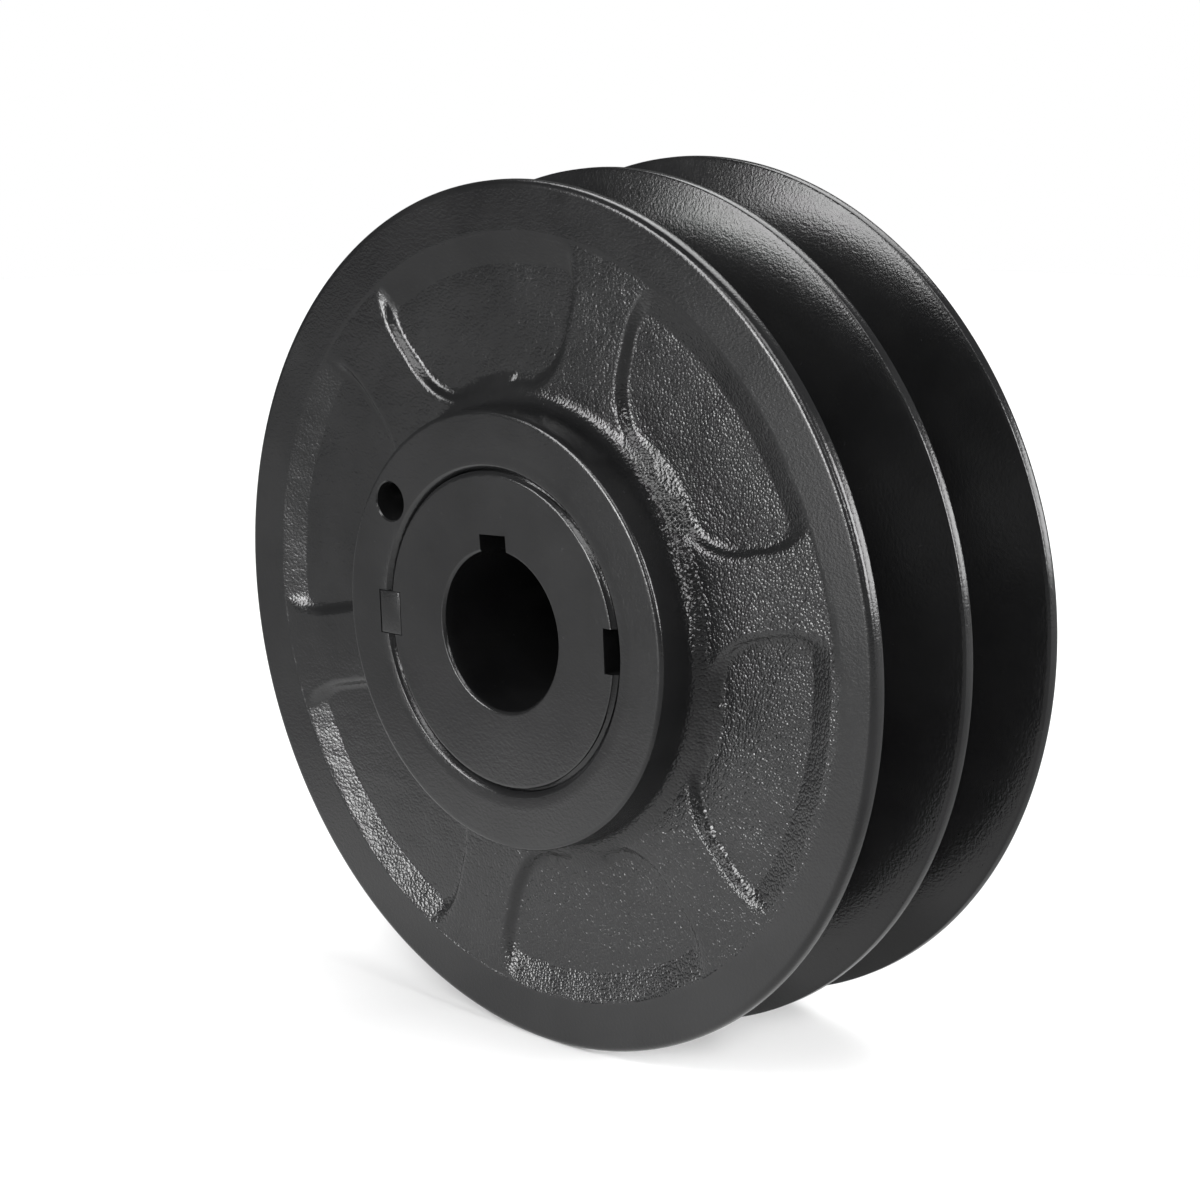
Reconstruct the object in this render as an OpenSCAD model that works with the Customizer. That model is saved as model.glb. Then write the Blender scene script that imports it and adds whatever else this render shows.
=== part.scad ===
// Two-groove variable-pitch V-belt pulley.
// The shaft axis is Y and the front looks along -Y. The origin lies on the shaft axis, in the
// middle plane of the centre flange. "Clock" angles are degrees clockwise from the top (+Z),
// seen from the front. Lengths are millimetres.

/* [Rim and grooves] */
// Outside diameter of the three flanges
rim_d = 190.5; // [170:0.5:215]
// Distance from the centre flange's rim to each outer flange's rim, with the grooves open
groove_pitch = 27.8; // [27:0.1:32]
// Width of the flat land on the centre flange's rim
land_w = 2.26; // [1.5:0.01:3.5]
// Width of each outer flange's rim
outer_rim_w = 3.13; // [2.6:0.01:5]
// Rounding between an outer flange's rim and its face
rim_round = 1.5; // [0.5:0.1:2.5]
// Included angle of the V grooves
groove_angle = 35; // [34:0.5:38]
// Inner radius of the groove walls, where they meet the flat hub faces
groove_root_r = 70; // [66:0.5:74]

/* [Bore] */
// Shaft bore diameter, 1 3/8 inch
bore_d = 34.925; // [19.05:0.005:38.1]
// Shaft keyway width, 5/16 inch
keyway_w = 7.94; // [4.76:0.01:9.53]
// Shaft keyway depth at its side walls
keyway_depth = 3.97; // [2.38:0.01:4.76]
// Clock angle of the shaft keyway
keyway_clock = -5.8; // [-45:0.1:45]
// Chamfer at both ends of the bore
bore_chamfer = 0.5; // [0.3:0.1:1.5]

/* [Barrel] */
// Major diameter of the adjusting thread, 2 3/4 inch
thread_d = 69.85; // [66:0.01:72]
// Pitch of the adjusting thread, 16 per inch
thread_pitch = 1.5875; // [1:0.0005:2]
// Distance from the middle plane to each end of the thread
thread_end = 41.1; // [38:0.1:46]
// Turns from fully open to fully closed grooves
open_turns = 6; // [2:1:6]
// Length of the plain clamping end behind the rear thread
clamp_end_l = 18; // [14:1:30]
// Diameter of the plain clamping end
clamp_end_d = 61; // [56:0.1:62]

/* [Outer flanges] */
// Diameter of the boss
boss_d = 95.8; // [92:0.1:100]
// Distance that the boss face lies behind the barrel's end
boss_inset = 0; // [0:0.1:1]
// Rounding of the boss's outer edge
boss_round = 1; // [0.4:0.1:2]
// Fillet at the foot of the boss
boss_fillet = 3.6; // [1:0.1:5]
// Number of cast pockets
pocket_count = 6; // [3:1:8]
// Outer radius of the pockets, which is also the edge of the turned face ring
pocket_outer_r = 83.9; // [78:0.1:88]
// Radius where the sloping outer wall reaches the pocket floor
pocket_slope_r = 77.65; // [72:0.1:82]
// Inner radius of the pockets
pocket_inner_r = 52; // [50.5:0.1:60]
// Depth of the pockets
pocket_depth = 1.7; // [0.8:0.1:3]
// Width of the spokes between the pockets
spoke_w = 14.6; // [10:0.1:25]
// Corner rounding of the pockets
pocket_corner = 8; // [3:0.5:10]
// Clock angle of the first spoke
spoke_clock = 15; // [0:0.5:60]
// Diameter of the spanner hole
spanner_hole_d = 8.6; // [5:0.1:9]
// Depth of the spanner hole
spanner_hole_depth = 13; // [8:0.5:16]
// Distance of the spanner hole from the axis
spanner_hole_r = 41.5; // [41:0.1:43]
// Clock angle of the spanner hole
spanner_hole_clock = 304; // [290:0.1:320]

/* [Keys and set screws] */
// Width of the outside keys, 3/8 inch
key_w = 9.525; // [6:0.005:12]
// Height of the outside keys, 1/4 inch
key_h = 6.35; // [5:0.01:7]
// Length of the outside keys
key_l = 19; // [14:0.5:19]
// Clock angle of the outside keys
key_clock = 267; // [240:0.5:290]
// Nominal diameter of the flange set screws, 5/16 inch
flange_screw_d = 7.94; // [5:0.01:8]
// Nominal diameter of the shaft set screws, 3/8 inch
shaft_screw_d = 9.525; // [6:0.005:10]

/* [Hidden] */
$fn = 120;

iron = [0.17, 0.17, 0.175];
steel = [0.24, 0.24, 0.25];
past = 1;                       // how far a cut runs past the surface that it opens

rim_r = rim_d / 2;
wall_slope = tan(groove_angle / 2);
land_half = land_w / 2;
outer_edge = groove_pitch - land_half;          // groove edge of an outer rim
outer_face = outer_edge + outer_rim_w;          // turned face of an outer flange
travel = open_turns * thread_pitch;
closed_gap = 0.35;                              // left between hub faces with grooves closed
rim_edge_round = 0.35;

centre_hub_y = land_half + (rim_r - groove_root_r) * wall_slope;
flange_hub_y = centre_hub_y + travel + closed_gap;
flange_root_r = rim_r - (outer_edge - flange_hub_y) / wall_slope;

bore_r = bore_d / 2;
keyway_top = sqrt(bore_r * bore_r - keyway_w * keyway_w / 4) + keyway_depth;
thread_r = thread_d / 2;
thread_depth = 0.6134 * thread_pitch;
thread_chamfer = 1;
thread_fit = 0.05;                              // radial clearance of a flange on the thread
clamp_end_r = clamp_end_d / 2;
clamp_end_y = thread_end + clamp_end_l;
end_chamfer = 1.2;

boss_r = boss_d / 2;
boss_face = thread_end - boss_inset;
boss_bore_chamfer = 1.1;

key_bottom_r = 31.5;
key_side_fit = 0.04;
key_gap = 0.2;                                  // above and below the key
keyslot_run_out = 0.5;                          // barrel keyway beyond the key when closed

screw_fit = 0.05;                               // radial clearance of a set screw in its hole
flange_screw_y = boss_face - 5.2;
key_screw_tip_r = key_bottom_r + key_h + 0.05;
lock_screw_tip_r = thread_r + 0.08;
shaft_screw_y = thread_end + clamp_end_l / 2;
key_screw_l = 7.94;
lock_screw_l = 9.525;
shaft_key_screw_l = 7.94;
shaft_side_screw_l = 12.7;
shaft_key_tip_r = keyway_top + 0.25;
shaft_side_tip_r = bore_r + 0.15;

// Points of an arc about [u, v], from angle a0 to a1
function arc(u, v, r, a0, a1, n = 6) =
    [for (i = [0 : n]) let (a = a0 + (a1 - a0) * i / n) [u + r * cos(a), v + r * sin(a)]];

// Turns a profile of [radius, y] points about the shaft axis
module turned() rotate([-90, 0, 0]) rotate_extrude($fn = 180) children();

// Puts something that is drawn at the top at a clock angle
module at_clock(angle) rotate([0, angle, 0]) children();

// Cylinder along +Y from y0 to y1
module rod_y(r, y0, y1) translate([0, y0, 0]) rotate([-90, 0, 0]) cylinder(r = r, h = y1 - y0);

// Block that is centred in X, from y0 to y1 and from z0 to z1
module slab(w, y0, y1, z0, z1) translate([-w / 2, y0, z0]) cube([w, y1 - y0, z1 - z0]);

// One half of the hub's outline, from the middle plane to the end of the thread
function thread_side(side) =
    let (first = centre_hub_y + thread_pitch,
         count = floor((thread_end - thread_chamfer - first) / thread_pitch))
    [for (i = [0 : count - 1]) each [
        [thread_r - thread_depth, side * (first + i * thread_pitch)],
        [thread_r, side * (first + (i + 0.44) * thread_pitch)],
        [thread_r, side * (first + (i + 0.56) * thread_pitch)]]];

// Points between an end of the thread and the rim of the centre flange
function centre_flange_side(side) = [
    [thread_r - thread_depth, side * centre_hub_y],
    [groove_root_r, side * centre_hub_y],
    [rim_r - rim_edge_round, side * (land_half + rim_edge_round * wall_slope)],
    [rim_r, side * (land_half - rim_edge_round)]];

function reversed(list) = [for (i = [len(list) - 1 : -1 : 0]) list[i]];

// Barrel and centre flange, one casting
module hub() color(iron) difference() {
    turned() polygon(concat(
        [[0, -thread_end], [thread_r - thread_chamfer, -thread_end],
         [thread_r - thread_depth, -thread_end + thread_chamfer]],
        reversed(thread_side(-1)),
        centre_flange_side(-1),
        reversed(centre_flange_side(1)),
        thread_side(1),
        [[clamp_end_r, thread_end], [clamp_end_r, clamp_end_y - end_chamfer],
         [clamp_end_r - end_chamfer, clamp_end_y], [0, clamp_end_y]]));
    rod_y(bore_r, -thread_end - past, clamp_end_y + past);
    turned() polygon([[0, -thread_end - past], [bore_r + bore_chamfer + past, -thread_end - past],
        [bore_r, -thread_end + bore_chamfer], [0, -thread_end + bore_chamfer]]);
    turned() polygon([[0, clamp_end_y + past], [bore_r + bore_chamfer + past, clamp_end_y + past],
        [bore_r, clamp_end_y - bore_chamfer], [0, clamp_end_y - bore_chamfer]]);
    at_clock(keyway_clock)
        slab(keyway_w, -thread_end - past, clamp_end_y + past, 0, keyway_top);
    for (side = [-1, 1], turn = [0, 180]) at_clock(key_clock + turn) barrel_keyslot(side);
    at_clock(keyway_clock) screw_hole(shaft_screw_d, shaft_screw_y, 0, clamp_end_r);
    at_clock(keyway_clock + 90) screw_hole(shaft_screw_d, shaft_screw_y, 0, clamp_end_r);
}

// Keyway in the outside of the barrel, open at its end
module barrel_keyslot(side) {
    inner = thread_end - key_l - travel - keyslot_run_out;
    mirror([0, side > 0 ? 0 : 1, 0])
        slab(key_w + 2 * key_side_fit, inner, thread_end + past,
            key_bottom_r - key_gap, thread_r + past);
}

// Radial hole for a set screw, from the radius r0 out through the radius r1
module screw_hole(d, y, r0, r1)
    translate([0, y, r0]) cylinder(d = d, h = r1 - r0 + past, $fn = 48);

// Outline of an outer flange, before its pockets and holes, drawn for the rear flange
function flange_outline() = concat(
    [[thread_r + thread_fit, flange_hub_y + 0.5], [thread_r + thread_fit + 0.5, flange_hub_y],
     [flange_root_r, flange_hub_y], [rim_r - rim_edge_round, outer_edge - rim_edge_round * wall_slope],
     [rim_r, outer_edge + rim_edge_round]],
    arc(rim_r - rim_round, outer_face - rim_round, rim_round, 0, 90),
    arc(boss_r + boss_fillet, outer_face + boss_fillet, boss_fillet, 270, 180),
    arc(boss_r - boss_round, boss_face - boss_round, boss_round, 0, 90),
    [[thread_r + thread_fit + boss_bore_chamfer, boss_face],
     [thread_r + thread_fit, boss_face - boss_bore_chamfer]]);

// Space between two neighbouring spokes, with rounded corners, in the plane of the face
module pocket_outline() offset(r = pocket_corner, $fn = 32) offset(delta = -pocket_corner)
    difference() {
        intersection() {
            difference() {
                circle(r = pocket_outer_r);
                circle(r = pocket_inner_r);
            }
            polygon([[0, 0], 2 * rim_r * [sin(-180 / pocket_count), cos(180 / pocket_count)],
                2 * rim_r * [sin(180 / pocket_count), cos(180 / pocket_count)]]);
        }
        for (side = [-1, 1]) rotate(side * 180 / pocket_count)
            translate([-spoke_w / 2, 0]) square([spoke_w, rim_r]);
    }

// Shallow cast pockets, whose outer wall slopes
module pockets() for (i = [0 : pocket_count - 1])
    at_clock(spoke_clock + (i + 0.5) * 360 / pocket_count) intersection() {
        translate([0, outer_face + past, 0]) rotate([90, 0, 0])
            linear_extrude(pocket_depth + 2 * past) pocket_outline();
        turned() polygon([[pocket_inner_r - past, outer_face - pocket_depth],
            [pocket_slope_r, outer_face - pocket_depth], [pocket_outer_r, outer_face],
            [pocket_outer_r, outer_face + past], [pocket_inner_r - past, outer_face + past]]);
    }

// Outer flange, drawn as the rear one
module flange() difference() {
    turned() polygon(flange_outline());
    pockets();
    at_clock(spanner_hole_clock) translate([0, 0, spanner_hole_r])
        rod_y(spanner_hole_d / 2, boss_face - spanner_hole_depth, boss_face + past);
    at_clock(key_clock) slab(key_w + 2 * key_side_fit, flange_hub_y - past, boss_face + past,
        thread_r - past, key_bottom_r + key_h + key_gap);
    at_clock(key_clock) screw_hole(flange_screw_d, flange_screw_y, thread_r, boss_r);
    at_clock(key_clock - 90) screw_hole(flange_screw_d, flange_screw_y, thread_r - past, boss_r);
}

module rear_flange() color(iron) flange();
module front_flange() color(iron) mirror([0, 1, 0]) flange();

// Square-ended key that locks an outer flange to the barrel, drawn for the rear flange
module outside_key() at_clock(key_clock)
    slab(key_w, thread_end - key_l, thread_end, key_bottom_r, key_bottom_r + key_h);

module rear_key() color(iron) outside_key();
module front_key() color(iron) mirror([0, 1, 0]) outside_key();

// Hexagon-socket set screw with a cup point, its tip at radius tip_r
module set_screw(d, l, y, tip_r) {
    screw_r = d / 2 - screw_fit;
    point_h = d * 0.15;
    cup_r = screw_r * 0.45;
    socket_across_flats = d / 2;
    translate([0, y, tip_r]) difference() {
        union() {
            cylinder(r1 = screw_r - point_h, r2 = screw_r, h = point_h, $fn = 48);
            translate([0, 0, point_h]) cylinder(r = screw_r, h = l - 1.5 * point_h, $fn = 48);
            translate([0, 0, l - point_h / 2])
                cylinder(r1 = screw_r, r2 = screw_r - point_h / 2, h = point_h / 2, $fn = 48);
        }
        translate([0, 0, -past])
            cylinder(r1 = cup_r + past, r2 = 0, h = cup_r + past, $fn = 48);
        translate([0, 0, l / 2])
            cylinder(d = socket_across_flats / cos(30), h = l, $fn = 6);
    }
}

// The two set screws of an outer flange, drawn for the rear flange
module key_screw()
    at_clock(key_clock) set_screw(flange_screw_d, key_screw_l, flange_screw_y, key_screw_tip_r);
module lock_screw()
    at_clock(key_clock - 90)
        set_screw(flange_screw_d, lock_screw_l, flange_screw_y, lock_screw_tip_r);

module rear_key_screw() color(steel) key_screw();
module front_key_screw() color(steel) mirror([0, 1, 0]) key_screw();
module rear_lock_screw() color(steel) lock_screw();
module front_lock_screw() color(steel) mirror([0, 1, 0]) lock_screw();

// The two set screws that hold the pulley on its shaft
module shaft_key_screw() color(steel) at_clock(keyway_clock)
    set_screw(shaft_screw_d, shaft_key_screw_l, shaft_screw_y, shaft_key_tip_r);
module shaft_side_screw() color(steel) at_clock(keyway_clock + 90)
    set_screw(shaft_screw_d, shaft_side_screw_l, shaft_screw_y, shaft_side_tip_r);

hub();
front_flange();
rear_flange();
front_key();
rear_key();
front_key_screw();
rear_key_screw();
front_lock_screw();
rear_lock_screw();
shaft_key_screw();
shaft_side_screw();
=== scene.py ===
"""Looks of a two-groove variable-pitch V-belt pulley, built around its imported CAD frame.

The shaft axis is Y, the front looks along -Y, and clock angles run clockwise from the top (+Z)
as seen from the front. Sizes are in millimetres until a mesh is made.
"""
import math

import bmesh
import bpy
import numpy as np
from mathutils import Matrix, Vector


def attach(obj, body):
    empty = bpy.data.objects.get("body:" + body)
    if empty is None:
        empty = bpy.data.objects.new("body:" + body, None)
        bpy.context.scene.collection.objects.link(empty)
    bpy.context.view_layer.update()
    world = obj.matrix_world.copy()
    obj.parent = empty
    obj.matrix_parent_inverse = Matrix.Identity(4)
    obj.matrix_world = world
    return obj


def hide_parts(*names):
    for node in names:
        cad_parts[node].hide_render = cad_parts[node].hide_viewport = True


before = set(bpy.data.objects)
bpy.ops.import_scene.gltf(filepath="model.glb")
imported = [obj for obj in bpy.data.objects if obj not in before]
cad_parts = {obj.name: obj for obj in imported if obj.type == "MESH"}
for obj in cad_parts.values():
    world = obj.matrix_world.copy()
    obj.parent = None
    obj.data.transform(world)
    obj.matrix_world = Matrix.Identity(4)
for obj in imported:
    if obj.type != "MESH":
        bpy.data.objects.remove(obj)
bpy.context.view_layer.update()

MM = 0.001

# ---- sizes, as in the CAD model ------------------------------------------------------------
# Two differ from it: KEY_SIDE_FIT is wider, so that the seam beside a key shows, and
# POCKET_INNER_R is smaller, so that a pocket runs into the foot of the boss.
RIM_R = 95.25
GROOVE_PITCH = 27.8
LAND_HALF = 1.13
OUTER_EDGE = GROOVE_PITCH - LAND_HALF
OUTER_FACE = OUTER_EDGE + 3.13
RIM_ROUND = 1.5
RIM_EDGE_ROUND = 0.35
WALL_SLOPE = math.tan(math.radians(35 / 2))
GROOVE_ROOT_R = 70.0
THREAD_R = 34.925
THREAD_PITCH = 1.5875
THREAD_DEPTH = 0.6134 * THREAD_PITCH
THREAD_CHAMFER = 1.0
TRAVEL = 6 * THREAD_PITCH
CENTRE_HUB_Y = LAND_HALF + (RIM_R - GROOVE_ROOT_R) * WALL_SLOPE
FLANGE_HUB_Y = CENTRE_HUB_Y + TRAVEL + 0.35
FLANGE_ROOT_R = RIM_R - (OUTER_EDGE - FLANGE_HUB_Y) / WALL_SLOPE
FLANGE_BORE_R = THREAD_R + 0.05
BORE_R = 17.4625
BORE_CHAMFER = 0.5
KEYWAY_W = 7.94
KEYWAY_TOP = math.sqrt(BORE_R ** 2 - KEYWAY_W ** 2 / 4) + 3.97
KEYWAY_CLOCK = -5.8
THREAD_END = 41.1
CLAMP_END_R = 30.5
CLAMP_END_Y = THREAD_END + 18
END_CHAMFER = 1.2
BOSS_R = 47.9
BOSS_FACE = THREAD_END
BOSS_ROUND = 1.0
BOSS_FILLET = 3.6
BOSS_BORE_CHAMFER = 1.1
POCKET_COUNT = 6
POCKET_CLOCK = 45.0
POCKET_OUTER_R = 83.9
POCKET_SLOPE_R = 77.65
POCKET_INNER_R = 49.6
POCKET_DEPTH = 1.7
SPOKE_W = 14.6
SPANNER_D = 8.6
SPANNER_DEPTH = 13.0
SPANNER_R = 41.5
SPANNER_CLOCK = 304.0
KEY_W = 9.525
KEY_H = 6.35
KEY_L = 19.0
KEY_CLOCK = 267.0
KEY_BOTTOM_R = 31.5
KEY_GAP = 0.2
KEY_SIDE_FIT = 0.10
KEYSLOT_START = THREAD_END - KEY_L - TRAVEL - 0.5
FLANGE_SCREW_D = 7.94
FLANGE_SCREW_Y = BOSS_FACE - 5.2
SHAFT_SCREW_D = 9.525
SHAFT_SCREW_Y = THREAD_END + 9.0
PAST = 1.0


# ---- mesh helpers --------------------------------------------------------------------------
def arc(u, v, r, a0, a1, n):
    """Points of an arc about (u, v), from angle a0 to a1 in degrees."""
    return [(u + r * math.cos(math.radians(a)), v + r * math.sin(math.radians(a)))
            for a in np.linspace(a0, a1, n + 1)]


def line(p, q, n):
    """n points from p towards q, without q."""
    return [(p[0] + (q[0] - p[0]) * i / n, p[1] + (q[1] - p[1]) * i / n) for i in range(n)]


def link(obj):
    """Puts an object in the scene."""
    bpy.context.scene.collection.objects.link(obj)
    return obj


def mesh_object(name, points, faces):
    """A mesh from points in millimetres, with its faces turned outward."""
    mesh = bpy.data.meshes.new(name)
    mesh.from_pydata([tuple(p) for p in np.asarray(points) * MM], [], [tuple(f) for f in faces])
    mesh.validate()
    mesh.update()
    bm = bmesh.new()
    bm.from_mesh(mesh)
    if bm.calc_volume(signed=True) < 0:
        bmesh.ops.reverse_faces(bm, faces=bm.faces)
    bm.to_mesh(mesh)
    bm.free()
    return link(bpy.data.objects.new(name, mesh))


def ring_solid(name, radius, y, count):
    """A closed solid whose profile goes round the shaft axis. radius and y are rows of profile
    points by columns of clock angles; the last row joins the first."""
    rows = radius.shape[0]
    angle = np.arange(count) * 2 * math.pi / count
    points = np.stack([radius * np.sin(angle), y, radius * np.cos(angle)], -1).reshape(-1, 3)
    i = np.repeat(np.arange(rows), count)
    j = np.tile(np.arange(count), rows)
    i_next, j_next = (i + 1) % rows, (j + 1) % count
    faces = np.stack([i * count + j, i_next * count + j,
                      i_next * count + j_next, i * count + j_next], -1)
    return mesh_object(name, points, faces)


def stack_faces(rows, count):
    """Faces of a stack of rings with count points each, with flat ends."""
    faces = [(i * count + j, i * count + (j + 1) % count,
              (i + 1) * count + (j + 1) % count, (i + 1) * count + j)
             for i in range(rows - 1) for j in range(count)]
    faces.append(tuple(range(count))[::-1])
    faces.append(tuple((rows - 1) * count + j for j in range(count)))
    return faces


def lathe(name, profile, count, place=Matrix()):
    """A solid turned about its local Z axis from (radius, z) points, with flat ends."""
    angle = np.arange(count) * 2 * math.pi / count
    profile = np.array(profile, float)
    rows = len(profile)
    points = np.stack([profile[:, :1] * np.cos(angle), profile[:, :1] * np.sin(angle),
                       np.repeat(profile[:, 1:], count, 1)], -1).reshape(-1, 3)
    points = np.array([(place @ Vector(p))[:] for p in points])
    return mesh_object(name, points, stack_faces(rows, count))


def slab(name, w, y0, y1, z0, z1, place=Matrix()):
    """A block centred in X."""
    corners = [(x, y, z) for x in (-w / 2, w / 2) for y in (y0, y1) for z in (z0, z1)]
    corners = np.array([(place @ Vector(c))[:] for c in corners])
    faces = [(0, 1, 3, 2), (4, 6, 7, 5), (0, 4, 5, 1), (2, 3, 7, 6), (0, 2, 6, 4), (1, 5, 7, 3)]
    return mesh_object(name, corners, faces)


def at_clock(angle):
    """Turns something drawn at the top to a clock angle."""
    return Matrix.Rotation(math.radians(angle), 4, "Y")


def cut(obj, cutters):
    """Takes the cutters out of obj, one after another."""
    for cutter in cutters:
        mod = obj.modifiers.new("cut", "BOOLEAN")
        mod.operation = "DIFFERENCE"
        mod.solver = "MANIFOLD"
        mod.object = cutter
        done = bpy.data.meshes.new_from_object(
            obj.evaluated_get(bpy.context.evaluated_depsgraph_get()))
        obj.modifiers.clear()
        obj.data = done
        bpy.data.objects.remove(cutter)
    return obj


def smooth(obj, angle=32):
    """Smooth shading, with edges sharper than the angle kept."""
    mesh = obj.data
    mesh.polygons.foreach_set("use_smooth", np.ones(len(mesh.polygons), bool))
    bm = bmesh.new()
    bm.from_mesh(mesh)
    limit = math.radians(angle)
    for edge in bm.edges:
        edge.smooth = len(edge.link_faces) == 2 and edge.calc_face_angle(0) < limit
    bm.to_mesh(mesh)
    bm.free()
    return obj


def smooth_step(x, low, high):
    """0 up to low, 1 from high on, and a soft step between them."""
    t = np.clip((x - low) / (high - low), 0, 1)
    return t * t * (3 - 2 * t)


# ---- the cast face of an outer flange ------------------------------------------------------
SIDE_WALL_ANGLE = 58
SIDE_RUN = 2.9
INNER_RUN = 4.6
OUTER_RUN = POCKET_OUTER_R - POCKET_SLOPE_R
OUTER_CORNER = 6.3
INNER_CORNER = 9.0
SPOKE_DROP = 0.12
POCKET_DISH = 0.35
POCKET_DISH_RUN = 24
BROAD_WAVE, BROAD_HEIGHT = 14, 0.05
SMALL_WAVE, SMALL_HEIGHT = 4.5, 0.012


def wall_profile(angle, run):
    """Share of the depth along a wall of a pocket, rounded at its top and foot by equal arcs
    and straight between them at an angle in degrees. Distances run from 0 to 1."""
    steep = math.tan(math.radians(angle))
    radius = (run * steep - POCKET_DEPTH) / (2 * math.tan(math.radians(angle / 2)) * steep)
    bend = radius * math.sin(math.radians(angle))
    u = np.linspace(0, run, 121)
    low = radius - np.sqrt(np.maximum(radius ** 2 - np.minimum(u, bend) ** 2, 0))
    high = radius - np.sqrt(np.maximum(radius ** 2 - np.minimum(run - u, bend) ** 2, 0))
    drop = np.where(u < bend, low, np.where(run - u < bend, POCKET_DEPTH - high,
                    low[-1] + (u - bend) * steep))
    return u / run, drop / POCKET_DEPTH


STEEP_WALL = wall_profile(SIDE_WALL_ANGLE, SIDE_RUN)
FLAT_WALL = (np.array([0, 0.02, 0.05, 0.95, 0.98, 1]), np.array([0, 0.008, 0.04, 0.96, 0.992, 1]))


def corner(a, b, size):
    """The distance into a rounded corner between walls a and b, and how far it is along the
    corner from wall b, 0, to wall a, 1."""
    near_a, near_b = np.maximum(size - a, 0), np.maximum(size - b, 0)
    rounded = (near_a > 0) & (near_b > 0)
    distance = np.where(rounded, size - np.hypot(near_a, near_b), np.minimum(a, b))
    share = near_a / np.maximum(near_a + near_b, 1e-9)
    return distance, np.where(rounded, share, np.where(a < b, 1.0, 0.0))


def pocket_fill(r, clock):
    """0 on the spokes and the ring, 1 on the floor of a pocket."""
    step = 360 / POCKET_COUNT
    off = np.abs((clock - POCKET_CLOCK + step / 2) % step - step / 2)
    side = (r * np.sin(np.radians(step / 2 - off)) - SPOKE_W / 2) / SIDE_RUN
    outer = (POCKET_OUTER_R - r) / OUTER_RUN
    inner = (r - POCKET_INNER_R) / INNER_RUN
    wall, flatter = corner(outer, side, OUTER_CORNER / SIDE_RUN)
    wall = corner(wall, inner, INNER_CORNER / SIDE_RUN)[0]
    wall = np.clip(wall, 0, 1)
    flatter = smooth_step(flatter, 0.35, 0.95)
    return (np.interp(wall, *FLAT_WALL) * flatter + np.interp(wall, *STEEP_WALL) * (1 - flatter))


def waves(r, clock, seed, size, count=26):
    """Gentle unevenness of a cast surface, about 1 high, made of a few seeded plane waves."""
    rng = np.random.default_rng(seed)
    x, z = r * np.sin(np.radians(clock)), r * np.cos(np.radians(clock))
    total = np.zeros_like(x)
    for turn, phase, scale in rng.random((count, 3)):
        k = 2 * math.pi / (size * (0.6 + scale))
        total += np.sin(k * (x * math.cos(turn * 7) + z * math.sin(turn * 7)) + phase * 7)
    return total / math.sqrt(count)


def turned_edge(clock):
    """Radius where the turned ring of the face begins, which wanders a little."""
    return POCKET_OUTER_R + 0.3 + 2.6 * np.exp(-((clock % 360 - 108) / 22) ** 2)


def cast_share(r, clock):
    """1 on the cast part of the face, 0 on its turned ring."""
    return 1 - smooth_step(r - turned_edge(clock), -0.35, 0.35)


def face_level(r, clock):
    """How far the face lies beneath the turned ring."""
    rough = cast_share(r, clock)
    floor = POCKET_DEPTH + POCKET_DISH * smooth_step(POCKET_SLOPE_R - r, 0, POCKET_DISH_RUN)
    level = SPOKE_DROP * rough + (floor - SPOKE_DROP) * pocket_fill(r, clock)
    uneven = (BROAD_HEIGHT * waves(r, clock, 3, BROAD_WAVE)
              + SMALL_HEIGHT * waves(r, clock, 5, SMALL_WAVE))
    return level + rough * uneven


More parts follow.
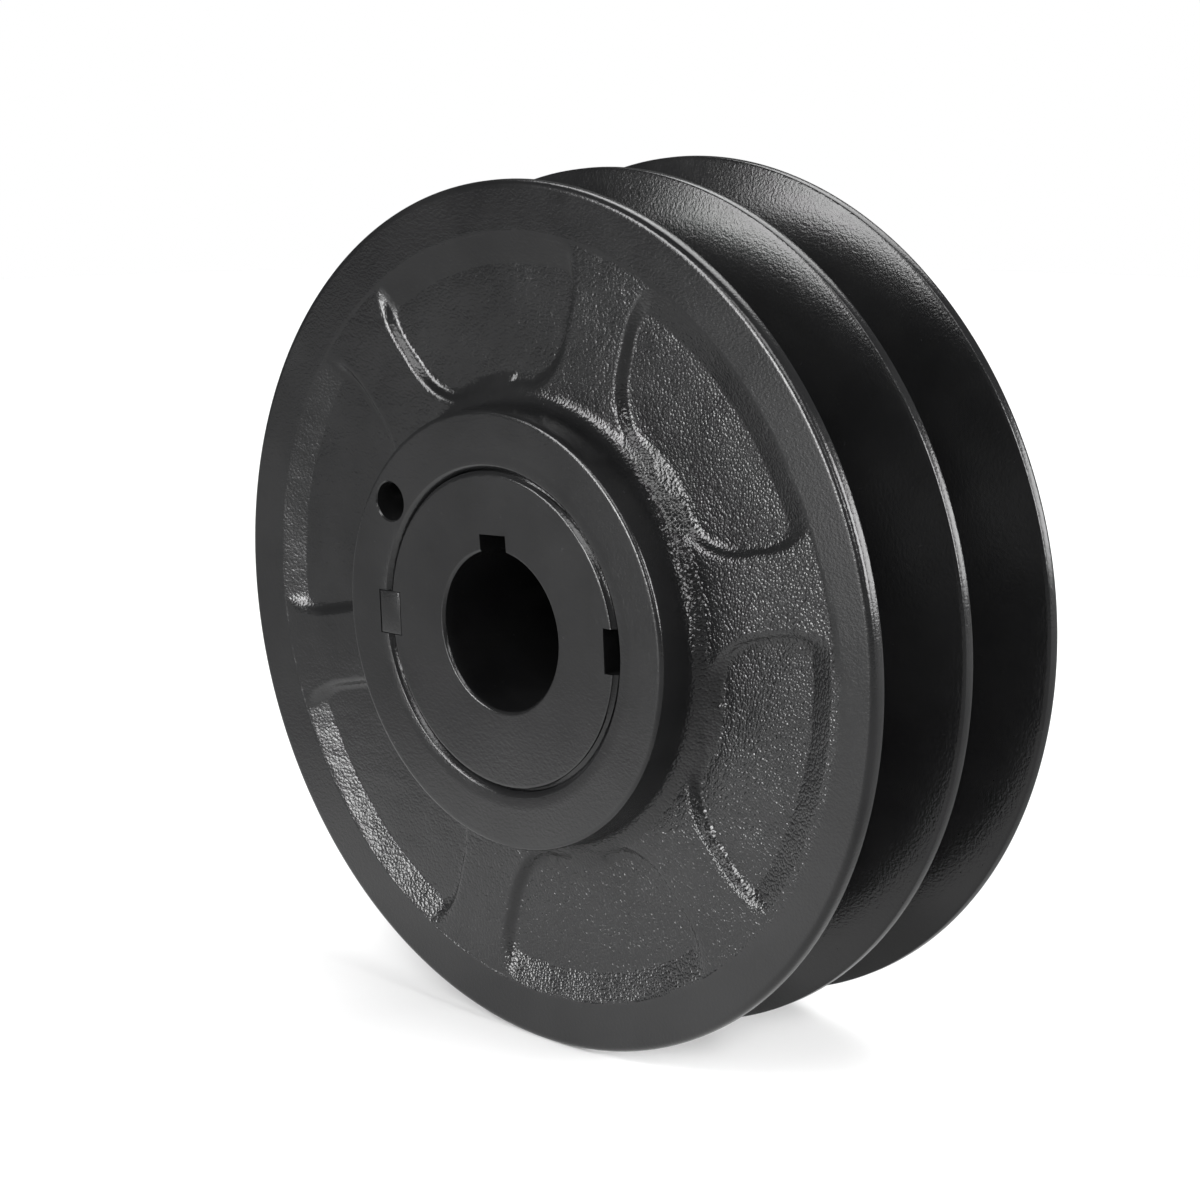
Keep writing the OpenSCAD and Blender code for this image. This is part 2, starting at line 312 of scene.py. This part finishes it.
def flange(name, side):
    """An outer flange; side is 1 for the rear one and -1 for the front one."""
    count = 840
    clock = np.arange(count) * 360 / count

    def fixed(points):
        points = np.array(points, float)
        return [np.repeat(points[:, i:i + 1], count, 1) for i in (0, 1)]

    groove_side = fixed(
        [(FLANGE_BORE_R, FLANGE_HUB_Y + 0.5), (FLANGE_BORE_R + 0.5, FLANGE_HUB_Y)]
        + line((FLANGE_BORE_R + 0.9, FLANGE_HUB_Y), (FLANGE_ROOT_R - 0.5, FLANGE_HUB_Y), 3)
        + [(FLANGE_ROOT_R - 0.5, FLANGE_HUB_Y)]
        + line((FLANGE_ROOT_R + 0.4, FLANGE_HUB_Y + 0.4 * WALL_SLOPE),
               (RIM_R - 1, OUTER_EDGE - WALL_SLOPE), 7)
        + [(RIM_R - 1, OUTER_EDGE - WALL_SLOPE),
           (RIM_R - RIM_EDGE_ROUND, OUTER_EDGE - RIM_EDGE_ROUND * WALL_SLOPE),
           (RIM_R - 0.08, OUTER_EDGE + 0.08), (RIM_R, OUTER_EDGE + RIM_EDGE_ROUND)]
        + arc(RIM_R - RIM_ROUND, OUTER_FACE - RIM_ROUND, RIM_ROUND, 0, 90, 7))
    radii = np.concatenate([
        [RIM_R - RIM_ROUND - 0.3], np.linspace(RIM_R - 2.4, 85.2, 5), np.linspace(84.7, 82.9, 8),
        np.linspace(82.3, 78.4, 7), np.linspace(78.05, 77.2, 4), np.linspace(76.7, 57.4, 28),
        np.linspace(56.8, BOSS_R + BOSS_FILLET, 12)])
    face_r, face_clock = np.meshgrid(radii, clock, indexing="ij")
    face_y = OUTER_FACE - face_level(face_r, face_clock)
    bend = np.linspace(0, math.pi / 2, 8)[1:]
    foot_r, foot_clock = np.meshgrid(BOSS_R + BOSS_FILLET * (1 - np.sin(bend)), clock,
                                     indexing="ij")
    rise = BOSS_FILLET * (1 - np.cos(bend))[:, None]
    foot_y = OUTER_FACE - face_level(foot_r, foot_clock) + rise
    boss_side = fixed(
        [(BOSS_R, OUTER_FACE + BOSS_FILLET + 1.2), (BOSS_R, BOSS_FACE - BOSS_ROUND - 1)]
        + arc(BOSS_R - BOSS_ROUND, BOSS_FACE - BOSS_ROUND, BOSS_ROUND, 0, 90, 6)
        + line((BOSS_R - BOSS_ROUND - 0.4, BOSS_FACE),
               (FLANGE_BORE_R + BOSS_BORE_CHAMFER + 0.5, BOSS_FACE), 4)
        + [(FLANGE_BORE_R + BOSS_BORE_CHAMFER + 0.12, BOSS_FACE),
           (FLANGE_BORE_R + BOSS_BORE_CHAMFER, BOSS_FACE - 0.05),
           (FLANGE_BORE_R + 0.05, BOSS_FACE - BOSS_BORE_CHAMFER),
           (FLANGE_BORE_R, BOSS_FACE - BOSS_BORE_CHAMFER - 0.12)]
        + line((FLANGE_BORE_R, BOSS_FACE - BOSS_BORE_CHAMFER - 0.6),
               (FLANGE_BORE_R, FLANGE_HUB_Y + 0.5), 3))
    radius = np.concatenate([groove_side[0], face_r, foot_r, boss_side[0]])
    y = np.concatenate([groove_side[1], face_y, foot_y, boss_side[1]])
    obj = ring_solid(name, radius, side * y, count)
    mouth = 0.3
    r_hole = SPANNER_D / 2
    to_face = (Matrix.Translation((SPANNER_R * math.sin(math.radians(SPANNER_CLOCK)), 0,
                                   SPANNER_R * math.cos(math.radians(SPANNER_CLOCK))))
               @ Matrix.Rotation(-side * math.pi / 2, 4, "X"))
    spanner = lathe("cutter", [
        (0.05, BOSS_FACE - SPANNER_DEPTH - r_hole * 0.3), (r_hole, BOSS_FACE - SPANNER_DEPTH),
        (r_hole, BOSS_FACE - mouth), (r_hole + mouth + PAST, BOSS_FACE + PAST)], 72, to_face)
    keyway = slab("cutter", KEY_W + 2 * KEY_SIDE_FIT, side * (FLANGE_HUB_Y - PAST),
                  side * (BOSS_FACE + PAST), THREAD_R - 3,
                  KEY_BOTTOM_R + KEY_H + KEY_GAP, at_clock(KEY_CLOCK))
    holes = [screw_hole(FLANGE_SCREW_D, side * FLANGE_SCREW_Y, THREAD_R - 2, BOSS_R, angle)
             for angle in (KEY_CLOCK, KEY_CLOCK - 90)]
    cut(obj, [spanner, keyway] + holes)
    return finish_iron(obj, flange_cast)


def screw_hole(d, y, r0, r1, angle):
    """Cutter for a radial hole that opens at radius r1, with a slightly broken edge."""
    edge = 0.35
    place = at_clock(angle) @ Matrix.Translation((0, y, 0))
    return lathe("cutter", [(d / 2, r0), (d / 2, r1 - edge), (d / 2 + edge + PAST, r1 + PAST)],
                 64, place)


def flange_cast(r, y, clock):
    """Share of cast skin on an outer flange: its face and the foot of its boss."""
    depth = np.abs(y)
    on_face = (depth > OUTER_EDGE) & (r > BOSS_R - 0.05) & (depth < OUTER_FACE + 4.5)
    return np.where(on_face, cast_share(r, clock), 0.0)


def no_cast(r, y, clock):
    """No cast skin anywhere on the piece."""
    return np.zeros_like(r)


def finish_iron(obj, cast):
    """Shading, and the attribute that says where the skin is as cast."""
    smooth(obj)
    co = np.zeros(len(obj.data.vertices) * 3, np.float32)
    obj.data.vertices.foreach_get("co", co)
    co = co.reshape(-1, 3) / MM
    clock = np.degrees(np.arctan2(co[:, 0], co[:, 2]))
    share = cast(np.hypot(co[:, 0], co[:, 2]), co[:, 1], clock)
    attribute = obj.data.attributes.new("cast", "FLOAT", "POINT")
    attribute.data.foreach_set("value", share.astype(np.float32))
    return obj


# ---- the hub -------------------------------------------------------------------------------
def hub():
    """Barrel and centre flange, with a real helix on both ends of the barrel."""
    count = 288
    clock = np.arange(count) * 360 / count
    rows_r, rows_y = [], []

    def add(points):
        for r, y in points:
            rows_r.append(np.full(count, r))
            rows_y.append(np.full(count, y))

    def thread(y_from, y_to):
        """Thread from one y to the other; it fades out in the chamfer and at the root."""
        steps = int(abs(y_to - y_from) / THREAD_PITCH * 7)
        for y in np.linspace(y_from, y_to, steps):
            turn = y / THREAD_PITCH - clock / 360
            depth = THREAD_DEPTH * (0.5 + 0.5 * np.cos(2 * math.pi * turn)) ** 0.85
            near_root = smooth_step(abs(y) - CENTRE_HUB_Y, 0.4, 2.4)
            r = THREAD_R - THREAD_DEPTH + (THREAD_DEPTH - depth) * near_root
            rows_r.append(np.minimum(r, THREAD_R - THREAD_CHAMFER + (THREAD_END - abs(y))))
            rows_y.append(np.full(count, y))

    def half_flange(s):
        """Centre flange from the barrel out to the rim, on the side s."""
        return ([(THREAD_R - THREAD_DEPTH, s * (CENTRE_HUB_Y + 0.3)),
                 (THREAD_R - THREAD_DEPTH + 0.3, s * CENTRE_HUB_Y)]
                + line((THREAD_R, s * CENTRE_HUB_Y), (GROOVE_ROOT_R - 0.5, s * CENTRE_HUB_Y), 3)
                + [(GROOVE_ROOT_R - 0.5, s * CENTRE_HUB_Y)]
                + line((GROOVE_ROOT_R + 0.4, s * (CENTRE_HUB_Y - 0.4 * WALL_SLOPE)),
                       (RIM_R - 1, s * (LAND_HALF + WALL_SLOPE)), 7)
                + [(RIM_R - 1, s * (LAND_HALF + WALL_SLOPE)),
                   (RIM_R - RIM_EDGE_ROUND, s * (LAND_HALF + RIM_EDGE_ROUND * WALL_SLOPE)),
                   (RIM_R - 0.08, s * (LAND_HALF - 0.08)),
                   (RIM_R, s * (LAND_HALF - RIM_EDGE_ROUND))])

    face_r = THREAD_R - THREAD_CHAMFER
    add([(BORE_R, -THREAD_END + BORE_CHAMFER + 0.5), (BORE_R, -THREAD_END + BORE_CHAMFER + 0.1),
         (BORE_R + 0.05, -THREAD_END + BORE_CHAMFER), (BORE_R + BORE_CHAMFER, -THREAD_END + 0.05),
         (BORE_R + BORE_CHAMFER + 0.12, -THREAD_END)])
    add(line((BORE_R + BORE_CHAMFER + 0.5, -THREAD_END), (face_r - 0.5, -THREAD_END), 4))
    add([(face_r - 0.5, -THREAD_END), (face_r - 0.12, -THREAD_END)])
    thread(-THREAD_END + 0.05, -CENTRE_HUB_Y - 0.4)
    add(half_flange(-1))
    add(half_flange(1)[::-1])
    thread(CENTRE_HUB_Y + 0.4, THREAD_END - 0.05)
    add([(face_r - 0.12, THREAD_END), (face_r - 0.6, THREAD_END), (CLAMP_END_R + 0.5, THREAD_END),
         (CLAMP_END_R + 0.1, THREAD_END + 0.1), (CLAMP_END_R, THREAD_END + 0.5)])
    add(line((CLAMP_END_R, THREAD_END + 1), (CLAMP_END_R, CLAMP_END_Y - END_CHAMFER - 0.6), 3))
    add([(CLAMP_END_R, CLAMP_END_Y - END_CHAMFER - 0.6),
         (CLAMP_END_R, CLAMP_END_Y - END_CHAMFER - 0.1),
         (CLAMP_END_R - 0.1, CLAMP_END_Y - END_CHAMFER + 0.1),
         (CLAMP_END_R - END_CHAMFER + 0.05, CLAMP_END_Y - 0.05),
         (CLAMP_END_R - END_CHAMFER - 0.1, CLAMP_END_Y)])
    add(line((CLAMP_END_R - END_CHAMFER - 0.6, CLAMP_END_Y),
             (BORE_R + BORE_CHAMFER + 0.5, CLAMP_END_Y), 3))
    add([(BORE_R + BORE_CHAMFER + 0.5, CLAMP_END_Y), (BORE_R + BORE_CHAMFER + 0.1, CLAMP_END_Y),
         (BORE_R + BORE_CHAMFER, CLAMP_END_Y - 0.05), (BORE_R + 0.05, CLAMP_END_Y - BORE_CHAMFER),
         (BORE_R, CLAMP_END_Y - BORE_CHAMFER - 0.1)])
    add(line((BORE_R, CLAMP_END_Y - BORE_CHAMFER - 0.5),
             (BORE_R, -THREAD_END + BORE_CHAMFER + 0.5), 6))
    obj = ring_solid("barrel_and_centre_flange", np.array(rows_r), np.array(rows_y), count)
    cutters = [slab("cutter", KEYWAY_W, -THREAD_END - PAST, CLAMP_END_Y + PAST, 8, KEYWAY_TOP,
                    at_clock(KEYWAY_CLOCK))]
    for side in (-1, 1):
        for turn in (0, 180):
            cutters.append(slab("cutter", KEY_W + 2 * KEY_SIDE_FIT, side * KEYSLOT_START,
                                side * (THREAD_END + PAST), KEY_BOTTOM_R - KEY_GAP, THREAD_R + 3,
                                at_clock(KEY_CLOCK + turn)))
    for angle in (KEYWAY_CLOCK, KEYWAY_CLOCK + 90):
        cutters.append(screw_hole(SHAFT_SCREW_D, SHAFT_SCREW_Y, BORE_R - 3, CLAMP_END_R, angle))
    return finish_iron(cut(obj, cutters), no_cast)


# ---- keys and set screws -------------------------------------------------------------------
def outside_key(name, side):
    """Square-ended key with slightly broken edges."""
    obj = slab(name, KEY_W, side * (THREAD_END - KEY_L), side * THREAD_END, KEY_BOTTOM_R,
               KEY_BOTTOM_R + KEY_H, at_clock(KEY_CLOCK))
    bm = bmesh.new()
    bm.from_mesh(obj.data)
    bmesh.ops.bevel(bm, geom=bm.edges[:], offset=0.22 * MM, segments=3, profile=0.5,
                    affect="EDGES")
    bm.to_mesh(obj.data)
    bm.free()
    return finish_iron(obj, no_cast)


def set_screw(name, d, length, y, tip_r, angle, pitch):
    """Hexagon-socket set screw with a cup point and a real helix; its tip is at tip_r."""
    count = 64
    outer = d / 2 - 0.05
    depth = 0.55 * pitch
    point = 0.15 * d
    turn_share = np.arange(count) / count
    rows = []

    def plain(r, z):
        rows.append((np.full(count, r), np.full(count, z)))

    for r, z in ((0.1, 0.3 * d * 0.45), (0.5, 0.26 * d * 0.45), (outer - point - 0.15, 0.0),
                 (outer - point, 0.03)):
        plain(r, z)
    for z in np.linspace(0.15, length - 0.15, int(length / pitch * 9)):
        wave = 0.5 + 0.5 * np.cos(2 * math.pi * (z / pitch - turn_share))
        edge = min(outer, outer - point + z, outer - 0.5 + (length - z) * 1.2)
        rows.append((np.minimum(outer - depth * wave, edge), np.full(count, z)))
    for r, z in ((outer - 0.62, length), (outer - 0.9, length)):
        plain(r, z)
    angles = turn_share * 2 * math.pi
    points = np.concatenate([np.stack([r * np.cos(angles), r * np.sin(angles), z], -1)
                             for r, z in rows])
    place = at_clock(angle) @ Matrix.Translation((0, y, tip_r))
    points = np.array([(place @ Vector(p))[:] for p in points])
    obj = mesh_object(name, points, stack_faces(len(rows), count))
    socket_r = d / 4 / math.cos(math.radians(30))
    socket = lathe("cutter", [(0.05, length * 0.5 - socket_r * 0.55), (socket_r, length * 0.5),
                              (socket_r, length + PAST)], 6, place)
    mouth = lathe("cutter", [(0.05, length - socket_r), (socket_r + 0.25, length - 0.02),
                             (socket_r + 0.25 + PAST, length + PAST)], 48, place)
    cut(obj, [socket, mouth])
    return finish_iron(obj, no_cast)


# ---- materials -----------------------------------------------------------------------------
class Nodes:
    """Short names for building a node tree."""

    def __init__(self, material):
        material.use_nodes = True
        self.tree = material.node_tree
        self.tree.nodes.clear()

    def add(self, kind, **settings):
        node = self.tree.nodes.new(kind)
        for key, value in settings.items():
            setattr(node, key, value)
        return node

    def join(self, out, socket):
        self.tree.links.new(out, socket)

    def math(self, operation, a, b=None, c=None):
        node = self.add("ShaderNodeMath", operation=operation)
        for i, value in enumerate((a, b, c)):
            if value is None:
                continue
            if isinstance(value, (int, float)):
                node.inputs[i].default_value = value
            else:
                self.join(value, node.inputs[i])
        return node.outputs[0]

    def noise(self, vector, scale, detail, roughness=0.5):
        node = self.add("ShaderNodeTexNoise")
        node.inputs["Scale"].default_value = scale
        node.inputs["Detail"].default_value = detail
        node.inputs["Roughness"].default_value = roughness
        self.join(vector, node.inputs["Vector"])
        return node.outputs["Fac"]

    def ramp(self, value, low, high):
        """A soft step from 0 to 1 between low and high."""
        node = self.add("ShaderNodeMapRange", interpolation_type="SMOOTHSTEP")
        node.inputs["From Min"].default_value = low
        node.inputs["From Max"].default_value = high
        self.join(value, node.inputs["Value"])
        return node.outputs["Result"]

    def mix(self, share, a, b):
        """Colour b by a share over colour a; each is a grey level, a colour or a socket."""
        node = self.add("ShaderNodeMix", data_type="RGBA")
        self.join(share, node.inputs["Factor"])
        for key, colour in (("A", a), ("B", b)):
            if isinstance(colour, (float, tuple)):
                rgb = (colour,) * 3 if isinstance(colour, float) else colour
                node.inputs[key].default_value = (*rgb, 1)
            else:
                self.join(colour, node.inputs[key])
        return node.outputs["Result"]

    def bump(self, height):
        """A normal from a height in metres."""
        node = self.add("ShaderNodeBump")
        node.inputs["Strength"].default_value = 1.0
        node.inputs["Distance"].default_value = 1.0
        self.join(height, node.inputs["Height"])
        return node.outputs[0]

    def surface(self, colour, roughness=None, normal=None, **settings):
        """A Principled surface; settings are by socket name, with _ for a space."""
        shader = self.add("ShaderNodeBsdfPrincipled")
        self.join(colour, shader.inputs["Base Color"])
        if roughness is not None:
            self.join(roughness, shader.inputs["Roughness"])
        if normal is not None:
            self.join(normal, shader.inputs["Normal"])
        for key, value in settings.items():
            shader.inputs[key.replace("_", " ")].default_value = value
        self.join(shader.outputs[0], self.add("ShaderNodeOutputMaterial").inputs["Surface"])


# heights and scales of the enamel's texture: metres high, and cells to the metre
PEBBLE_SCALE, PEBBLE_HEIGHT = 1550, 0.00011
COARSE_SCALE, COARSE_HEIGHT = 900, 0.00006
PEEL_SCALE, PEEL_HEIGHT = 1500, 0.00004
FINE_SCALE, FINE_HEIGHT = 3000, 0.000012
ROUGHER_WAY = (0.906, 0, -0.423)
ROUGHER_FROM, ROUGHER_TO, LEAST_GRAIN = -0.045, 0.045, 0.32


def enamel():
    """Charcoal enamel: fine peel on turned iron, and a pebbled skin where it is as cast, which
    gets rougher across the face, towards clock angle 115 degrees."""
    material = bpy.data.materials.new("charcoal_enamel")
    n = Nodes(material)
    place = n.add("ShaderNodeTexCoord").outputs["Object"]
    cast = n.add("ShaderNodeAttribute", attribute_name="cast").outputs["Fac"]
    grain = n.add("ShaderNodeTexVoronoi", feature="F1")
    grain.inputs["Scale"].default_value = PEBBLE_SCALE
    n.join(place, grain.inputs["Vector"])
    apart = grain.outputs["Distance"]
    pebbles = n.math("MULTIPLY", n.math("MULTIPLY", apart, apart), -PEBBLE_HEIGHT)
    coarse = n.math("MULTIPLY", n.noise(place, COARSE_SCALE, 1.0), COARSE_HEIGHT)
    peel = n.math("MULTIPLY", n.noise(place, PEEL_SCALE, 1.0), PEEL_HEIGHT)
    fine = n.math("MULTIPLY", n.noise(place, FINE_SCALE, 1.0), FINE_HEIGHT)
    along = n.add("ShaderNodeVectorMath", operation="DOT_PRODUCT")
    n.join(place, along.inputs[0])
    along.inputs[1].default_value = ROUGHER_WAY
    rougher = n.math("MULTIPLY_ADD", n.ramp(along.outputs["Value"], ROUGHER_FROM, ROUGHER_TO),
                     1 - LEAST_GRAIN, LEAST_GRAIN)
    cast_height = n.math("MULTIPLY", n.math("MULTIPLY", cast, rougher),
                         n.math("ADD", pebbles, coarse))
    smooth_height = n.math("ADD", peel, fine)
    blotch = n.ramp(n.noise(place, 45, 4.0, 0.6), 0.3, 0.7)
    dust = n.ramp(n.noise(place, 1100, 2.0, 0.7), 0.72, 0.80)
    paint = n.mix(blotch, (0.0070, 0.0071, 0.0074), (0.0110, 0.0111, 0.0114))
    roughness = n.math("ADD", 0.15, n.math("MULTIPLY", n.noise(place, 160, 3.0, 0.6), 0.10))
    n.surface(n.mix(n.math("MULTIPLY", dust, 0.6), paint, 0.06), roughness,
              n.bump(n.math("ADD", cast_height, smooth_height)),
              IOR=1.5, Specular_IOR_Level=0.42)
    return material


def black_steel():
    """Black-oxide steel of the set screws, with lighter worn patches."""
    material = bpy.data.materials.new("black_oxide_steel")
    n = Nodes(material)
    place = n.add("ShaderNodeTexCoord").outputs["Object"]
    wear = n.ramp(n.noise(place, 700, 4.0, 0.65), 0.52, 0.72)
    colour = n.mix(wear, (0.035, 0.034, 0.036), (0.11, 0.108, 0.105))
    roughness = n.math("ADD", 0.3, n.math("MULTIPLY", n.noise(place, 900, 3.0), 0.22))
    scratches = n.math("MULTIPLY", n.noise(place, 3800, 2.0), 0.00001)
    n.surface(colour, roughness, n.bump(scratches), Metallic=1.0)
    return material


# ---- assembly ------------------------------------------------------------------------------
def show(obj, node, body, material):
    """Puts a piece in the place of its CAD node."""
    obj.data.materials.clear()
    obj.data.materials.append(material)
    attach(obj, body)
    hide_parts(node)


ENAMEL = enamel()
STEEL = black_steel()
show(hub(), "hub", "hub", ENAMEL)
for end, side in (("front", -1), ("rear", 1)):
    show(flange(f"{end}_outer_flange", side), f"{end}_flange", f"{end}_flange",
         ENAMEL)
    show(outside_key(f"{end}_outside_key", side), f"{end}_key", f"{end}_key",
         ENAMEL)
    show(set_screw(f"{end}_screw_over_key", FLANGE_SCREW_D, 7.94, side * FLANGE_SCREW_Y,
                   KEY_BOTTOM_R + KEY_H + 0.05, KEY_CLOCK, 1.411),
         f"{end}_key_screw", f"{end}_key_screw", STEEL)
    show(set_screw(f"{end}_screw_on_thread", FLANGE_SCREW_D, 9.525, side * FLANGE_SCREW_Y,
                   THREAD_R + 0.08, KEY_CLOCK - 90, 1.411),
         f"{end}_lock_screw", f"{end}_lock_screw", STEEL)
show(set_screw("shaft_screw_over_keyway", SHAFT_SCREW_D, 7.94, SHAFT_SCREW_Y,
               KEYWAY_TOP + 0.25, KEYWAY_CLOCK, 1.5875),
     "shaft_key_screw", "shaft_key_screw", STEEL)
show(set_screw("shaft_screw_at_side", SHAFT_SCREW_D, 12.7, SHAFT_SCREW_Y,
               BORE_R + 0.15, KEYWAY_CLOCK + 90, 1.5875),
     "shaft_side_screw", "shaft_side_screw", STEEL)


# ---- studio --------------------------------------------------------------------------------
FLOOR_RADIUS = 1.1
# Floor grey as the camera sees it, and as the object sees it: lighter in a painted pool of light
# in front of the object, in place of light falling there, and darker beyond. The pool's centre,
# and where its fade starts and ends, are in metres.
FLOOR_SEEN, FLOOR_IN_LIGHT_POOL, FLOOR_BEYOND_POOL = 0.90, 0.80, 0.24
LIGHT_POOL_CENTRE, POOL_FADE_START, POOL_FADE_END = (-0.06, -0.06), 0.06, 0.25
ROOM_LIGHT, ROOM_SEEN = 0.08, 1.0


def floor():
    """A round floor, pale to the camera. To the object it is darker, apart from a painted pool
    of light just in front of it."""
    corners = 96
    z = -RIM_R * MM
    mesh = bpy.data.meshes.new("floor")
    turns = np.arange(corners) * 2 * math.pi / corners
    mesh.from_pydata([(FLOOR_RADIUS * math.cos(a), FLOOR_RADIUS * math.sin(a), z)
                      for a in turns], [], [tuple(range(corners))])
    obj = link(bpy.data.objects.new("floor", mesh))
    material = bpy.data.materials.new("pale_floor")
    n = Nodes(material)
    away = n.add("ShaderNodeVectorMath", operation="DISTANCE")
    n.join(n.add("ShaderNodeTexCoord").outputs["Object"], away.inputs[0])
    away.inputs[1].default_value = (*LIGHT_POOL_CENTRE, z)
    # painted light: the floor's grey is lighter in a pool just in front of the object, standing
    # in for light falling there
    painted_light_pool = n.mix(n.ramp(away.outputs["Value"], POOL_FADE_START, POOL_FADE_END), FLOOR_IN_LIGHT_POOL, FLOOR_BEYOND_POOL)
    camera_ray = n.add("ShaderNodeLightPath").outputs["Is Camera Ray"]
    n.surface(n.mix(camera_ray, painted_light_pool, FLOOR_SEEN), Roughness=0.9, Specular_IOR_Level=0.1)
    mesh.materials.append(material)


def softbox(name, place, aim, width, height, watts):
    """An area light at a place, turned to face a point, both in metres."""
    data = bpy.data.lights.new(name, "AREA")
    data.shape = "RECTANGLE"
    data.size, data.size_y, data.energy = width, height, watts
    obj = link(bpy.data.objects.new(name, data))
    obj.location = place
    obj.visible_camera = False
    obj.rotation_euler = (Vector(place) - Vector(aim)).to_track_quat("Z", "Y").to_euler()


def studio():
    """A pale floor, a dim room seen as pale, and soft lights in front, above and behind."""
    floor()
    world = bpy.data.worlds.new("studio")
    world.use_nodes = True
    tree = world.node_tree
    room = tree.nodes["Background"]
    seen = tree.nodes.new("ShaderNodeBackground")
    for node, strength in ((room, ROOM_LIGHT), (seen, ROOM_SEEN)):
        node.inputs["Color"].default_value = (1, 1, 1, 1)
        node.inputs["Strength"].default_value = strength
    path = tree.nodes.new("ShaderNodeLightPath")
    mix = tree.nodes.new("ShaderNodeMixShader")
    tree.links.new(path.outputs["Is Camera Ray"], mix.inputs[0])
    tree.links.new(room.outputs[0], mix.inputs[1])
    tree.links.new(seen.outputs[0], mix.inputs[2])
    tree.links.new(mix.outputs[0], tree.nodes["World Output"].inputs["Surface"])
    bpy.context.scene.world = world
    bpy.context.scene.view_settings.view_transform = "Standard"
    softbox("key", (-0.55, -1.21, 0.69), (0, 0, 0), 0.60, 0.60, 15)
    softbox("front_panel", (-0.40, -1.21, 0.12), (0, 0, 0), 0.50, 0.36, 11.5)
    softbox("near_panel", (-0.115, -0.34, -0.02), (-0.05, 0, -0.02), 0.13, 0.14, 0.10)
    softbox("top_softbox", (0.36, -1.02, 1.08), (0, 0, 0), 0.75, 0.55, 7.5)
    softbox("right_softbox", (1.40, 0.25, 0.60), (0, 0, 0), 0.9, 0.9, 40)
    softbox("back_softbox", (0.95, 1.15, 0.32), (0, 0, 0), 0.7, 0.6, 12)
    softbox("edge_light", (0.88, -0.92, 0.50), (0, 0, 0), 0.22, 0.22, 2.6)
    softbox("floor_light", (-1.2, 1.9, 2.2), (-1.2, 1.9, 0), 2.4, 2.4, 75)


LENS_MM, SENSOR_MM = 107.4, 36
CAMERA_PLACE = (0.5354, -0.55115, 0.19226)
CAMERA_WAY = (-0.68261, 0.68919, -0.24303)


def camera():
    """Camera at the reference view: 44.7 degrees to the right, 14 degrees above."""
    data = bpy.data.cameras.new("camera")
    data.sensor_width = SENSOR_MM
    data.lens = LENS_MM
    data.clip_end = 50
    obj = link(bpy.data.objects.new("camera", data))
    forward = Vector(CAMERA_WAY).normalized()
    right = forward.cross(Vector((0, 0, 1))).normalized()
    up = right.cross(forward)
    turn = Matrix((right, up, -forward)).transposed()
    obj.matrix_world = Matrix.Translation(CAMERA_PLACE) @ turn.to_4x4()
    bpy.context.scene.camera = obj


studio()
camera()
